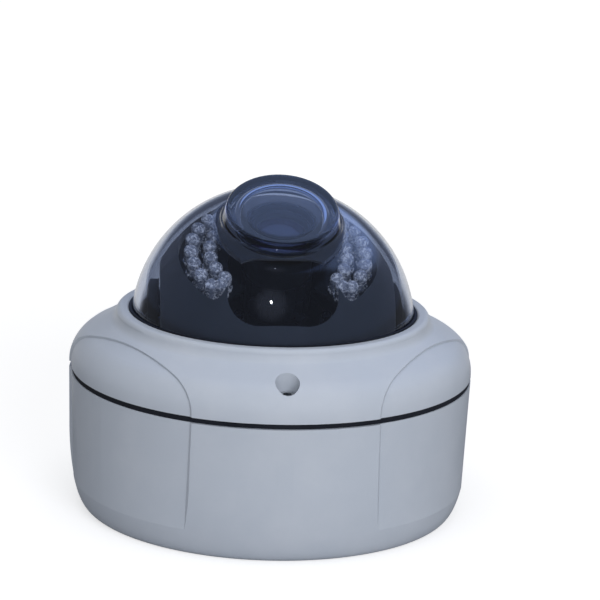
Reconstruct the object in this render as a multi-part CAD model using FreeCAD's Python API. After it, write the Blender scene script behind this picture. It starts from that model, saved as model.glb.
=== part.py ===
import FreeCAD, Part
import math
import os

# Vandal-resistant dome camera for a ceiling or a wall.
# Millimetres. The origin is the centre of the mounting face, +Z points along the dome and -Y is the front.
# The lens axis leans towards the front at rest; its pieces are drawn along +Z about the pivot, then tilted.

Vector = FreeCAD.Vector
ORIGIN, X_AXIS, Y_AXIS, Z_AXIS = Vector(), Vector(1, 0, 0), Vector(0, 1, 0), Vector(0, 0, 1)

# ---- driving dimensions: casing ----
BODY_DIAMETER = 146.0
BASE_HEIGHT = 49.2
BASE_FOOT_CURVE = 7.1          # how far the lower wall curves in
BASE_FOOT_SHARE = 0.62         # share of the base's height over which it does so
BASE_DRAFT = 0.4               # the straight upper wall leans in by this much at its foot
CASTING_WALL = 3.0
GASKET_THICKNESS = 2.0
GASKET_INSET = 1.3             # the gasket stands this far behind the raised panels
GASKET_WIDTH = 2.2

# ---- cover ----
COVER_STRAIGHT = 1.3
SHOULDER_RADIUS = 13.0
SHOULDER_SLOPE = 28.0          # degrees from level
COLLAR_RISE = 5.045            # top of the collar above the end of the slope
COLLAR_FOOT_REACH = 7.8        # radii of the collar beyond the dome: foot, side and top
COLLAR_SIDE_REACH = 5.2
COLLAR_TOP_REACH = 3.2
DOME_OPENING_GAP = 0.7

# ---- recessed bibs between the three raised panels ----
PANELS = 3
BIB_WIDTH_SHARE = 0.544        # half width over the body's radius
BIB_DEPTH = 0.85
BIB_CROWN_HEIGHT = 17.0        # above the middle of the gasket
BIB_CROWN_RADIUS = 122.0
BIB_CORNER_RADIUS = 13.9
BIB_FADE_HEIGHT = 10.0         # the recess runs out here, near the foot of the base
BIB_PLANE_INSET = 12.4         # the arch lies flat this far inside the body's radius
BIB_APEX_INSET = 18.0          # its walls fan out from a point this far inside, so each step leans open
BIB_APEX_HEIGHT = -8.0         # and this far from the gasket

# ---- cover fixings ----
WELL_INSET = 7.0               # axis of each well from the outside of the body
WELL_RADIUS = 4.25
WELL_WALL = 1.8
WELL_FLOOR = 5.8               # above the underside of the cover
COVER_SCREW_RADIUS = 2.0
COVER_SCREW_HEAD_RADIUS = 3.5
COVER_SCREW_HEAD_HEIGHT = 3.0
COVER_SCREW_REACH = 16.0       # length of the screw inside the base
BOSS_RADIUS = 5.4
BOSS_WEB = 5.0

# ---- mounting face ----
MOUNT_HOLE_INSET = 16.0        # from the outside of the body
MOUNT_HOLE_RADIUS = 2.5
INLET_RADIUS = 9.0
GROMMET_WALL = 2.25
GROMMET_LIFT = 0.4             # the bush stays clear of the mounting face
GROMMET_FLANGE = 1.5

# ---- dome ----
DOME_SHARE = 0.70137           # radius of the dome over the body's
DOME_WALL = 2.8
DOME_FLANGE_REACH = 5.5
DOME_FLANGE_THICKNESS = 2.5
PIVOT_DEPTH = 6.5              # centre of the dome and of the eyeball below the top of the collar
WINDOW_TILT = 26.5             # degrees from vertical at rest
WINDOW_RADIUS = 19.9
WINDOW_RISE = 3.7              # rim of the raised window above the dome's radius
WINDOW_CROWN = 0.5
WINDOW_LEAN = 8.0              # degrees that its side leans in
WINDOW_FLARE = 6.0             # radius of the hollow curve that joins the window to the dome
WINDOW_RIM_RADIUS = 1.8
SEAL_GAP = 0.15

# ---- clamp ring ----
CLAMP_THICKNESS = 2.4
CLAMP_LAP = 2.0                # how far the ring reaches inside the dome's radius
CLAMP_SCREW_RADIUS = 1.05
CLAMP_SCREW_REACH = 2.4        # into the cover
CLAMP_SCREWS = 6

# ---- pan unit ----
BOARD_LAP = 4.7                # the main board's edge inside the dome's radius
BOARD_THICKNESS = 1.6
BOARD_STANDOFF = 3.0
BOARD_SCREW_LAP = 6.5          # its screws inside its edge
BOARD_POST_RADIUS = 2.6
# blocks on the main board: length, width and height, and its place as shares of the board's radius
BOARD_BLOCKS = (
    (14.0, 6.0, 3.6, -0.387, 0.516),
    (10.0, 6.0, 3.6, 0.387, 0.473),
    (12.0, 12.0, 1.2, 0.559, -0.258),
    (7.0, 5.0, 1.2, -0.473, -0.43),
    (8.0, 8.0, 3.8, -0.71, 0.043),
)
# round capacitors on it: radius, height and place
BOARD_CANS = ((2.5, 3.9, -0.129, 0.774), (2.5, 3.9, 0.0215, 0.774), (2.5, 3.9, 0.172, 0.774))
PAN_LEG_REACH = 1.4            # the legs stand this far outside the dome's radius
PAN_LEG_RADIUS = 3.6
PAN_PLATE_HEIGHT = 12.0        # underside of the fixed pan plate
PAN_PLATE_THICKNESS = 2.5
TURNTABLE_LAP = 3.2            # its edge inside the dome's radius
TURNTABLE_THICKNESS = 2.7
HUB_RADIUS = 11.0
HUB_BORE_RADIUS = 8.0
CLIP_THICKNESS = 0.8
CLIP_WIDTH = 1.6
RUNNING_GAP = 0.05             # round each hub, pin and ring that turns
FACE_GAP = 0.2

# ---- yoke ----
CHEEK_GAP = 0.6
ARM_THICKNESS = 2.2
ARM_RIM = 1.4
ARM_RIM_WIDTH = 2.0
ARM_HALF_WIDTH = 14.0
ARM_CROWN = 16.5               # radius of the rounded top about the pivot
ARM_FOOT_LENGTH = 9.0
ARM_FOOT_THICKNESS = 2.6
PIVOT_RADIUS = 3.0
PIVOT_HEAD_RADIUS = 4.6
PIVOT_HEAD_THICKNESS = 1.5
YOKE_SCREW_RADIUS = 1.5
YOKE_SCREW_SPREAD = 6.0        # each side of the middle of the foot
YOKE_SCREW_HEAD_RADIUS = 2.6
YOKE_SCREW_HEAD_HEIGHT = 1.5

# ---- eyeball ----
EYEBALL_GAP = 4.2              # between its radius and the dome's
EYEBALL_WIDTH_SHARE = 0.8638   # flat cheeks over the radius
CHEEK_ROUND = 2.5
OPENING_ROUND = 0.45           # on the edge of the lens opening
EYEBALL_WALL = 2.0
EYEBALL_REAR_SHARE = 0.575     # the back is open at this share of the radius behind the pivot
LENS_TILT = 25.0               # degrees from vertical at rest
LENS_OPENING_RADIUS = 13.2
LED_OPENING_MARGIN = 1.75      # round the emitters, towards the rim of the ball
LED_OPENING_WIDTH = 14.2
LED_OPENING_SPREAD = 50.0      # degrees each side of the side axis
LED_OPENING_CORNER = 3.0
SERVICE_HALF_WIDTH = 19.0
SERVICE_UPPER_ANGLE = 19.5     # edges of the service window, degrees from the lens axis
SERVICE_LOWER_ANGLE = 50.0

# ---- infrared board ----
LED_TOP_SHARE = 0.7511         # tips from the pivot along the lens axis, over the ball's radius
LED_LENGTH = 7.1
LED_RADIUS = 2.5
LED_COLLAR_RADIUS = 2.85
LED_COLLAR_HEIGHT = 1.0
LED_BOARD_THICKNESS = 1.6
LED_BOARD_MARGIN = 0.3         # past the openings' outer edge
LED_BOARD_INNER = 17.6
LED_BOARD_GAP_ANGLE = 42.0     # half of the notch that leaves the lens rings in reach
LED_OUTER_SHARE = 0.6426       # circle of the outer row, over the ball's radius
LED_ROW_GAP = 6.3
LED_ROWS = ((6, 6.007), (7, 6.536))               # inner and outer row: count and pitch
LED_END_ANGLE = 41.0           # one more at each end, between the rows
LED_END_INSET = 2.6            # inside the outer row
LED_POST_INSET = 2.8
LED_SCREW_GRIP = 4.0           # length of its screws in the posts
LIGHT_CELL_REACH = 6.0         # outside the board's hole

# ---- camera module ----
FRAME_THICKNESS = 2.5
CARRIER_RADIUS = 20.5
SENSOR_BOARD_SIDE = 38.0
SENSOR_BOARD_DEPTH = 5.0       # underside behind the pivot
SENSOR_CHIP = (12.0, 12.0, 1.4, -6.0, 5.0)         # length, width, height and place under the board
SENSOR_SOCKET = (12.0, 4.5, 3.4, 0.0, -13.0)
HOLDER_SIDE = 20.0
HOLDER_HEIGHT = 9.0
BARREL_REAR_RADIUS = 8.6
BARREL_FRONT_RADIUS = 11.6
BARREL_END_SHARE = 0.915       # front of the barrel over the ball's radius
RING_RADIUS = 12.4
FOCUS_RING_HEIGHT = 12.0
ZOOM_RING_HEIGHT = 19.4
RING_LENGTH = 6.4
LEVER_REACH = 18.6
GLASS_RADIUS = 9.2

# ---- sizes worked out from the ones above ----
BODY_RADIUS = BODY_DIAMETER / 2
BASE_FOOT_RISE = BASE_HEIGHT * BASE_FOOT_SHARE
WELL_CIRCLE_RADIUS = BODY_RADIUS - WELL_INSET
MOUNT_HOLE_CIRCLE_RADIUS = BODY_RADIUS - MOUNT_HOLE_INSET
GASKET_MIDDLE = BASE_HEIGHT + GASKET_THICKNESS / 2
COVER_FOOT = BASE_HEIGHT + GASKET_THICKNESS
SLOPE_RISE = math.tan(math.radians(SHOULDER_SLOPE))

DOME_RADIUS = BODY_RADIUS * DOME_SHARE
DOME_OPENING_RADIUS = DOME_RADIUS + DOME_OPENING_GAP
DOME_FLANGE_RADIUS = DOME_RADIUS + DOME_FLANGE_REACH
COLLAR_FOOT_RADIUS = DOME_RADIUS + COLLAR_FOOT_REACH
COLLAR_RADIUS = DOME_RADIUS + COLLAR_SIDE_REACH
COLLAR_TOP_RADIUS = DOME_RADIUS + COLLAR_TOP_REACH
WINDOW_HEIGHT = DOME_RADIUS + WINDOW_RISE

# the slope starts where the shoulder's round has turned to its angle
SLOPE_START_RADIUS = BODY_RADIUS - SHOULDER_RADIUS * (1 - math.sin(math.radians(SHOULDER_SLOPE)))
SLOPE_START_HEIGHT = COVER_FOOT + COVER_STRAIGHT + SHOULDER_RADIUS * math.cos(math.radians(SHOULDER_SLOPE))
COVER_TOP = SLOPE_START_HEIGHT + (SLOPE_START_RADIUS - COLLAR_FOOT_RADIUS) * SLOPE_RISE + COLLAR_RISE
PIVOT_HEIGHT = COVER_TOP - PIVOT_DEPTH
FLANGE_SEAT = PIVOT_HEIGHT + 0.5
CLAMP_TOP = FLANGE_SEAT - FACE_GAP - DOME_FLANGE_THICKNESS - RUNNING_GAP
CLAMP_INNER_RADIUS = DOME_RADIUS - CLAMP_LAP
# inside the cover, the slope meets the clamp ring's land at this radius
LAND_RISE = CASTING_WALL / math.cos(math.radians(SHOULDER_SLOPE))
LAND_RADIUS = COLLAR_FOOT_RADIUS + (COVER_TOP - COLLAR_RISE - LAND_RISE - CLAMP_TOP) / SLOPE_RISE
CLAMP_OUTER_RADIUS = LAND_RADIUS - FACE_GAP / 2
CLAMP_SCREW_CIRCLE_RADIUS = (DOME_FLANGE_RADIUS + FACE_GAP + LAND_RADIUS) / 2

BOARD_RADIUS = DOME_RADIUS - BOARD_LAP
BOARD_SCREW_CIRCLE_RADIUS = BOARD_RADIUS - BOARD_SCREW_LAP
PAN_LEG_CIRCLE_RADIUS = DOME_RADIUS + PAN_LEG_REACH
PAN_TOP = PAN_PLATE_HEIGHT + PAN_PLATE_THICKNESS
TURNTABLE_RADIUS = DOME_RADIUS - TURNTABLE_LAP
TURNTABLE_FOOT = PAN_TOP + FACE_GAP
TURNTABLE_TOP = TURNTABLE_FOOT + TURNTABLE_THICKNESS

EYEBALL_RADIUS = DOME_RADIUS - EYEBALL_GAP
EYEBALL_HALF_WIDTH = EYEBALL_RADIUS * EYEBALL_WIDTH_SHARE
EYEBALL_REAR = EYEBALL_RADIUS * EYEBALL_REAR_SHARE
ARM_INNER = EYEBALL_HALF_WIDTH + CHEEK_GAP
ARM_OUTER = ARM_INNER + ARM_THICKNESS + ARM_RIM
LED_TOP = EYEBALL_RADIUS * LED_TOP_SHARE
LED_BOARD_HEIGHT = LED_TOP - LED_LENGTH - LED_BOARD_THICKNESS
LED_OUTER_ROW = EYEBALL_RADIUS * LED_OUTER_SHARE
LED_INNER_ROW = LED_OUTER_ROW - LED_ROW_GAP
LED_OPENING_OUTER = LED_OUTER_ROW + LED_RADIUS + LED_OPENING_MARGIN
LED_OPENING_INNER = LED_OPENING_OUTER - LED_OPENING_WIDTH
LED_BOARD_OUTER = LED_OPENING_OUTER + LED_BOARD_MARGIN
BARREL_END = EYEBALL_RADIUS * BARREL_END_SHARE
PANEL_ANGLES = [-90 + index * 360 / PANELS for index in range(PANELS)]
BIB_ANGLES = [angle + 180 / PANELS for angle in PANEL_ANGLES]
BIB_PLANE = BODY_RADIUS - BIB_PLANE_INSET
BIB_APEX_RADIUS = BODY_RADIUS - BIB_APEX_INSET
BIB_HALF_WIDTH = BODY_RADIUS * BIB_WIDTH_SHARE
BIB_REACH = (BIB_APEX_INSET + 2) / (BIB_PLANE - BIB_APEX_RADIUS)  # growth of the fan until it is outside the body


# ---- drawing helpers ----
def on_circle(radius, degrees, height=0.0):
    angle = math.radians(degrees)
    return Vector(radius * math.cos(angle), radius * math.sin(angle), height)


def flat_face(plane, start, *steps):
    """Face from a closed outline. A step is a corner, or a pair of points: an arc through one to the other."""
    edges, first = [], plane(*start)
    here = first
    for step in steps:
        if isinstance(step[0], tuple):
            middle, end = plane(*step[0]), plane(*step[1])
            edges.append(Part.Arc(here, middle, end).toShape())
        else:
            end = plane(*step)
            edges.append(Part.LineSegment(here, end).toShape())
        here = end
    if here.distanceToPoint(first) > 1e-6:
        edges.append(Part.LineSegment(here, first).toShape())
    return Part.Face(Part.Wire(edges))


def section(across, up):
    return Vector(across, 0, up)


def turned(start, *steps):
    """Solid of revolution about Z, from an outline of radius and height."""
    return flat_face(section, start, *steps).revolve(ORIGIN, Z_AXIS, 360)


def rod(radius, bottom, top, centre=ORIGIN):
    return Part.makeCylinder(radius, top - bottom, Vector(centre.x, centre.y, bottom))


def tube(outer, inner, bottom, top):
    return rod(outer, bottom, top).cut(rod(inner, bottom - 1, top + 1))


def block(size_x, size_y, bottom, top, centre=ORIGIN):
    corner = Vector(centre.x - size_x / 2, centre.y - size_y / 2, bottom)
    return Part.makeBox(size_x, size_y, top - bottom, corner)


def at_angles(shape, angles):
    """Copies of a shape drawn on the +X axis, turned to each angle."""
    copies = []
    for angle in angles:
        copy = shape.copy()
        copy.rotate(ORIGIN, Z_AXIS, angle)
        copies.append(copy)
    return copies


def arc_step(centre, radius, from_degrees, to_degrees):
    """The pair of points of an arc in an outline, given by its centre and its two angles."""
    def place(degrees):
        angle = math.radians(degrees)
        return centre[0] + radius * math.cos(angle), centre[1] + radius * math.sin(angle)
    return place((from_degrees + to_degrees) / 2), place(to_degrees)


def round_edges(shape, radius, wanted):
    return shape.makeFillet(radius, [edge for edge in shape.Edges if wanted(edge)])


def round_at(height, radius):
    """Test for full circular edges of one height and radius."""
    def wanted(edge):
        box = edge.BoundBox
        level = abs(box.ZMin - height) < 0.01 and abs(box.ZMax - height) < 0.01
        return level and abs(box.XMax - radius) < 0.01
    return wanted


def tilted(shape, degrees=LENS_TILT):
    """From the lens's own frame, with +Z along the lens, to its place in the camera at rest."""
    placed = shape.copy()
    placed.Placement = FreeCAD.Placement(Vector(0, 0, PIVOT_HEIGHT), FreeCAD.Rotation(X_AXIS, degrees))
    return placed


def screw(head_radius, head_height, radius, length, socket_radius):
    """Cap screw with its head above z = 0, its shank below and a hexagonal socket."""
    head = rod(head_radius, 0, head_height)
    head = round_edges(head, head_height * 0.2, round_at(head_height, head_radius))
    corners = [on_circle(socket_radius, 60 * index, head_height * 0.4) for index in range(7)]
    socket = Part.Face(Part.makePolygon(corners)).extrude(Vector(0, 0, head_height))
    return head.fuse(rod(radius, -length, 0)).cut(socket).removeSplitter()


def moved(shape, place):
    copy = shape.copy()
    copy.translate(place)
    return copy


# ---- casing outlines ----
def base_outer():
    """Outside of the base: a quarter ellipse at the foot, then a straight wall with a little draft."""
    foot_radius = BODY_RADIUS - BASE_DRAFT - BASE_FOOT_CURVE
    centre = Vector(foot_radius, 0, BASE_FOOT_RISE)
    side = Vector(foot_radius + BASE_FOOT_CURVE, 0, BASE_FOOT_RISE)
    bottom = Vector(foot_radius, 0, 0)
    ellipse = Part.Ellipse(bottom, side, centre)
    curve = Part.ArcOfEllipse(ellipse, 0, math.pi / 2)
    top = Vector(BODY_RADIUS, 0, BASE_HEIGHT)
    edges = [
        curve.toShape(),
        Part.LineSegment(side, top).toShape(),
        Part.LineSegment(top, Vector(0, 0, BASE_HEIGHT)).toShape(),
        Part.LineSegment(Vector(0, 0, BASE_HEIGHT), ORIGIN).toShape(),
        Part.LineSegment(ORIGIN, bottom).toShape(),
    ]
    return Part.Face(Part.Wire(Part.__sortEdges__(edges))).revolve(ORIGIN, Z_AXIS, 360)


def base_cavity():
    """Inside of the base: a plain bowl that keeps the casting wall."""
    inner_foot = BODY_RADIUS - BASE_FOOT_CURVE - CASTING_WALL
    inner_top = BODY_RADIUS - BIB_DEPTH - CASTING_WALL + 0.8
    bend = BASE_FOOT_RISE * 0.55
    return turned(
        (0, CASTING_WALL), (inner_foot - 3, CASTING_WALL),
        ((inner_foot + 1.2, CASTING_WALL + 4), (inner_foot + 3.2, bend)),
        (inner_top, BASE_HEIGHT + 1), (0, BASE_HEIGHT + 1),
    )


def shoulder(inset):
    """Outline of the cover's shoulder, moved in by inset: the wall, the round and the slope to the collar."""
    centre = (BODY_RADIUS - SHOULDER_RADIUS, COVER_FOOT + COVER_STRAIGHT)
    arc = arc_step(centre, SHOULDER_RADIUS - inset, 0, 90 - SHOULDER_SLOPE)
    run = arc[1][0] - COLLAR_FOOT_RADIUS
    slope_end = (COLLAR_FOOT_RADIUS, arc[1][1] + run * SLOPE_RISE)
    return (BODY_RADIUS - inset, centre[1]), arc, slope_end


def cover_outer():
    """Outside of the cover, shoulder and rounded collar."""
    wall_top, arc, slope_end = shoulder(0)
    collar_round = 0.9
    collar_side = (COLLAR_RADIUS, COVER_TOP - 1.9)
    hollow = ((slope_end[0] - 1.75, slope_end[1] + 1.25), collar_side)
    crown = ((COLLAR_RADIUS - 0.55, COVER_TOP - 0.5), (COLLAR_TOP_RADIUS, COVER_TOP))
    lip_centre = (DOME_OPENING_RADIUS + collar_round, COVER_TOP - collar_round)
    return turned(
        (0, COVER_FOOT), (BODY_RADIUS, COVER_FOOT), wall_top, arc, slope_end, hollow, crown,
        (lip_centre[0], COVER_TOP), arc_step(lip_centre, collar_round, 90, 180), (0, lip_centre[1]),
    )


def cover_cavity():
    """Inside of the cover: shoulder, the land for the clamp ring, the flange groove and the dome opening."""
    wall_top, arc = shoulder(CASTING_WALL)[:2]
    groove_radius = DOME_FLANGE_RADIUS + FACE_GAP
    return turned(
        (0, COVER_FOOT - 1), (wall_top[0], COVER_FOOT - 1), wall_top, arc,
        (LAND_RADIUS, CLAMP_TOP), (groove_radius, CLAMP_TOP), (groove_radius, FLANGE_SEAT),
        (DOME_OPENING_RADIUS, FLANGE_SEAT), (DOME_OPENING_RADIUS, COVER_TOP + 1), (0, COVER_TOP + 1),
    )


# ---- bib cutters ----
def bib_arch(scale):
    """Arch of a bib on a plane across +X, scaled about the apex. Heights count from the gasket's middle."""
    depth = BIB_APEX_RADIUS + (BIB_PLANE - BIB_APEX_RADIUS) * scale
    corner_x = BIB_HALF_WIDTH - BIB_CORNER_RADIUS
    lean = math.asin(corner_x / (BIB_CROWN_RADIUS - BIB_CORNER_RADIUS))
    crown_centre = BIB_CROWN_HEIGHT - BIB_CROWN_RADIUS
    corner_z = crown_centre + (BIB_CROWN_RADIUS - BIB_CORNER_RADIUS) * math.cos(lean)
    foot = BIB_APEX_HEIGHT + 1.0
    lean_degrees = math.degrees(lean)
    right = arc_step((corner_x, corner_z), BIB_CORNER_RADIUS, 0, 90 - lean_degrees)
    crown = arc_step((0, crown_centre), BIB_CROWN_RADIUS, 90 - lean_degrees, 90 + lean_degrees)
    left = arc_step((-corner_x, corner_z), BIB_CORNER_RADIUS, 90 + lean_degrees, 180)

    def plane(across, up):
        grown = BIB_APEX_HEIGHT + (up - BIB_APEX_HEIGHT) * scale
        return Vector(depth, across * scale, GASKET_MIDDLE + grown)

    face = flat_face(plane, (BIB_HALF_WIDTH, foot), (BIB_HALF_WIDTH, corner_z), right, crown, left,
                     (-BIB_HALF_WIDTH, foot))
    return face.OuterWire


def cover_bibs():
    """What the three recesses take off the cover."""
    fan = Part.makeLoft([bib_arch(0.7), bib_arch(BIB_REACH)], True, True)
    wall_top, arc, slope_end = shoulder(BIB_DEPTH)
    peak = slope_end[1] + slope_end[0] * SLOPE_RISE
    kept = turned((0, COVER_FOOT - 8), (wall_top[0], COVER_FOOT - 8), wall_top, arc, (0, peak))
    return at_angles(fan.cut(kept), BIB_ANGLES)


def base_bibs():
    """What the recesses take off the base: a drafted face that runs out near the foot."""
    rise = math.sqrt(1 - ((BASE_FOOT_RISE - BIB_FADE_HEIGHT) / BASE_FOOT_RISE) ** 2)
    fade_radius = BODY_RADIUS - BASE_DRAFT - BASE_FOOT_CURVE * (1 - rise)
    top_radius = BODY_RADIUS - BIB_DEPTH
    slope = (top_radius - fade_radius) / (BASE_HEIGHT - BIB_FADE_HEIGHT)
    kept = turned((0, -1), (fade_radius - slope * (BIB_FADE_HEIGHT + 1), -1),
                  (top_radius + slope, BASE_HEIGHT + 1), (0, BASE_HEIGHT + 1))
    far = BIB_APEX_RADIUS + (BIB_PLANE - BIB_APEX_RADIUS) * BIB_REACH
    corners = [Vector(BIB_APEX_RADIUS, 0, 0), Vector(far, -BIB_HALF_WIDTH * BIB_REACH, 0),
               Vector(far, BIB_HALF_WIDTH * BIB_REACH, 0), Vector(BIB_APEX_RADIUS, 0, 0)]
    fan = Part.Face(Part.makePolygon(corners)).extrude(Vector(0, 0, BASE_HEIGHT + 1))
    return at_angles(fan.cut(kept), BIB_ANGLES)


# ---- casing ----
def base_housing():
    outer = base_outer()
    body = outer.cut(base_cavity())
    bosses = at_angles(rod(BOSS_RADIUS, 1, BASE_HEIGHT, Vector(WELL_CIRCLE_RADIUS, 0, 0)), PANEL_ANGLES)
    web = block(WELL_INSET, BOSS_WEB, 1, BASE_HEIGHT,
                Vector(BODY_RADIUS - WELL_INSET / 2, 0, 0))
    posts = at_angles(rod(BOARD_POST_RADIUS, 1, CASTING_WALL + BOARD_STANDOFF, Vector(BOARD_SCREW_CIRCLE_RADIUS, 0, 0)),
                      board_screw_angles())
    inside = bosses + at_angles(web, PANEL_ANGLES)
    body = body.fuse([piece.common(outer) for piece in inside] + posts)
    screw_hole = rod(COVER_SCREW_RADIUS + RUNNING_GAP, BASE_HEIGHT - COVER_SCREW_REACH - 2, BASE_HEIGHT + 1,
                     Vector(WELL_CIRCLE_RADIUS, 0, 0))
    mount_hole = rod(MOUNT_HOLE_RADIUS, -1, CASTING_WALL + 1, Vector(MOUNT_HOLE_CIRCLE_RADIUS, 0, 0))
    leg_hole = rod(1.2, 0.8, CASTING_WALL + 1, Vector(PAN_LEG_CIRCLE_RADIUS, 0, 0))
    board_hole = rod(1.1, 2, CASTING_WALL + BOARD_STANDOFF + 1, Vector(BOARD_SCREW_CIRCLE_RADIUS, 0, 0))
    holes = at_angles(screw_hole, PANEL_ANGLES) + at_angles(mount_hole, BIB_ANGLES)
    holes += at_angles(leg_hole, PANEL_ANGLES) + at_angles(board_hole, board_screw_angles())
    holes.append(rod(INLET_RADIUS, -1, CASTING_WALL + 1))
    return body.cut(holes + base_bibs()).removeSplitter()


def housing_gasket():
    """Flat ring with a lobe round each cover screw."""
    outer = BODY_RADIUS - GASKET_INSET
    ring = tube(outer, outer - GASKET_WIDTH, BASE_HEIGHT, COVER_FOOT)
    lobe = rod(BOSS_RADIUS - 0.4, BASE_HEIGHT, COVER_FOOT, Vector(WELL_CIRCLE_RADIUS, 0, 0))
    hole = rod(COVER_SCREW_RADIUS + 0.3, BASE_HEIGHT - 1, COVER_FOOT + 1, Vector(WELL_CIRCLE_RADIUS, 0, 0))
    ring = ring.fuse(at_angles(lobe, PANEL_ANGLES)).cut(at_angles(hole, PANEL_ANGLES))
    return ring.common(rod(outer, BASE_HEIGHT, COVER_FOOT)).removeSplitter()


def cover():
    outer = cover_outer()
    body = outer.cut(cover_cavity())
    column = rod(WELL_RADIUS + WELL_WALL, COVER_FOOT, COVER_TOP, Vector(WELL_CIRCLE_RADIUS, 0, 0))
    body = body.fuse([piece.common(outer) for piece in at_angles(column, PANEL_ANGLES)])
    well = rod(WELL_RADIUS, COVER_FOOT + WELL_FLOOR, COVER_TOP, Vector(WELL_CIRCLE_RADIUS, 0, 0))
    hole = rod(COVER_SCREW_RADIUS + 0.3, COVER_FOOT - 1, COVER_TOP, Vector(WELL_CIRCLE_RADIUS, 0, 0))
    clamp_hole = rod(CLAMP_SCREW_RADIUS + 0.05, CLAMP_TOP - 1, CLAMP_TOP + CLAMP_SCREW_REACH + 0.4,
                     Vector(CLAMP_SCREW_CIRCLE_RADIUS, 0, 0))
    cuts = at_angles(well, PANEL_ANGLES) + at_angles(hole, PANEL_ANGLES)
    cuts += at_angles(clamp_hole, clamp_screw_angles()) + cover_bibs()
    return body.cut(cuts).removeSplitter()


def cover_screws():
    one = screw(COVER_SCREW_HEAD_RADIUS, COVER_SCREW_HEAD_HEIGHT, COVER_SCREW_RADIUS,
                WELL_FLOOR + GASKET_THICKNESS + COVER_SCREW_REACH, 1.7)
    one = moved(one, Vector(WELL_CIRCLE_RADIUS, 0, COVER_FOOT + WELL_FLOOR))
    return Part.makeCompound(at_angles(one, PANEL_ANGLES))


def cable_grommet():
    """Rubber bush in the cable inlet, with a flange inside the housing."""
    outer = INLET_RADIUS - RUNNING_GAP
    inner = INLET_RADIUS - GROMMET_WALL
    return turned(
        (inner, GROMMET_LIFT), (outer, GROMMET_LIFT), (outer, CASTING_WALL), (outer + 2.2, CASTING_WALL),
        (outer + 1.6, CASTING_WALL + GROMMET_FLANGE), (inner, CASTING_WALL + GROMMET_FLANGE),
    )


# ---- dome ----
def window_outline(radius, rim, sphere_radius, flare):
    """Half outline of the raised window in radius and height along its axis, down to the dome's sphere."""
    lean = math.radians(WINDOW_LEAN)
    side_foot_radius = radius + (rim - sphere_radius * 0.93) * math.tan(lean)
    # the hollow curve touches the leaning side and the sphere
    reach = sphere_radius + flare
    centre_radius = side_foot_radius + flare
    centre_height = math.sqrt(reach ** 2 - centre_radius ** 2)
    touch = (centre_radius * sphere_radius / reach, centre_height * sphere_radius / reach)
    side = (centre_radius - flare * math.cos(lean), centre_height + flare * math.sin(lean))
    start = 180 - WINDOW_LEAN
    end = 180 + math.degrees(math.atan2(centre_height - touch[1], centre_radius - touch[0]))
    hollow = arc_step((centre_radius, centre_height), flare, start, end)
    rim_centre = (radius - WINDOW_RIM_RADIUS, rim - WINDOW_RIM_RADIUS)
    round_rim = arc_step(rim_centre, WINDOW_RIM_RADIUS, 90, -WINDOW_LEAN + 10)
    crown_arc = ((rim_centre[0] * 0.5, rim + WINDOW_CROWN * 0.76), (rim_centre[0], rim))
    return (0, rim + WINDOW_CROWN), crown_arc, round_rim, side, hollow


def window_solid(inset):
    start, crown_arc, round_rim, side, hollow = window_outline(
        WINDOW_RADIUS - inset, WINDOW_HEIGHT - inset, DOME_RADIUS - inset, WINDOW_FLARE + inset * 0.4)
    return tilted(turned(start, crown_arc, round_rim, side, hollow, (0, hollow[1][1] * 0.5)), WINDOW_TILT)


def dome_cover():
    """Clear dome with its raised window, a short skirt and the flange that the clamp ring holds."""
    centre = Vector(0, 0, PIVOT_HEIGHT)
    flange_foot = FLANGE_SEAT - FACE_GAP - DOME_FLANGE_THICKNESS
    flange_top = FLANGE_SEAT - FACE_GAP
    upper = rod(DOME_RADIUS + 20, PIVOT_HEIGHT, PIVOT_HEIGHT + DOME_RADIUS + 20)
    outer = Part.makeSphere(DOME_RADIUS, centre).fuse(window_solid(0)).common(upper)
    outer = outer.fuse([rod(DOME_RADIUS, flange_foot, PIVOT_HEIGHT),
                        rod(DOME_FLANGE_RADIUS, flange_foot, flange_top)])
    inner_radius = DOME_RADIUS - DOME_WALL
    inner = Part.makeSphere(inner_radius, centre).fuse(window_solid(DOME_WALL)).common(upper)
    return outer.cut([inner, rod(inner_radius, flange_foot - 1, PIVOT_HEIGHT)]).removeSplitter()


def dome_seal():
    """Black ring between the dome and the collar; its inside follows the dome."""
    radius = DOME_RADIUS + SEAL_GAP
    top = COVER_TOP + 0.1
    low = math.asin((FLANGE_SEAT - PIVOT_HEIGHT) / radius)
    high = math.asin((top - PIVOT_HEIGHT) / radius)
    inside = arc_step((0, PIVOT_HEIGHT), radius, math.degrees(high), math.degrees(low))
    return turned(
        (DOME_OPENING_RADIUS, FLANGE_SEAT), (DOME_OPENING_RADIUS, COVER_TOP - 0.9),
        (DOME_OPENING_RADIUS, top), (radius * math.cos(high), top), inside,
    )


def clamp_screw_angles():
    return [index * 360 / CLAMP_SCREWS for index in range(CLAMP_SCREWS)]


def dome_clamp_ring():
    ring = tube(CLAMP_OUTER_RADIUS, CLAMP_INNER_RADIUS, CLAMP_TOP - CLAMP_THICKNESS, CLAMP_TOP)
    hole = rod(CLAMP_SCREW_RADIUS + 0.1, CLAMP_TOP - CLAMP_THICKNESS - 1, CLAMP_TOP + 1,
               Vector(CLAMP_SCREW_CIRCLE_RADIUS, 0, 0))
    notch = rod(WELL_RADIUS + WELL_WALL + FACE_GAP, 0, COVER_TOP, Vector(WELL_CIRCLE_RADIUS, 0, 0))
    return ring.cut(at_angles(hole, clamp_screw_angles()) + at_angles(notch, PANEL_ANGLES))


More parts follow.
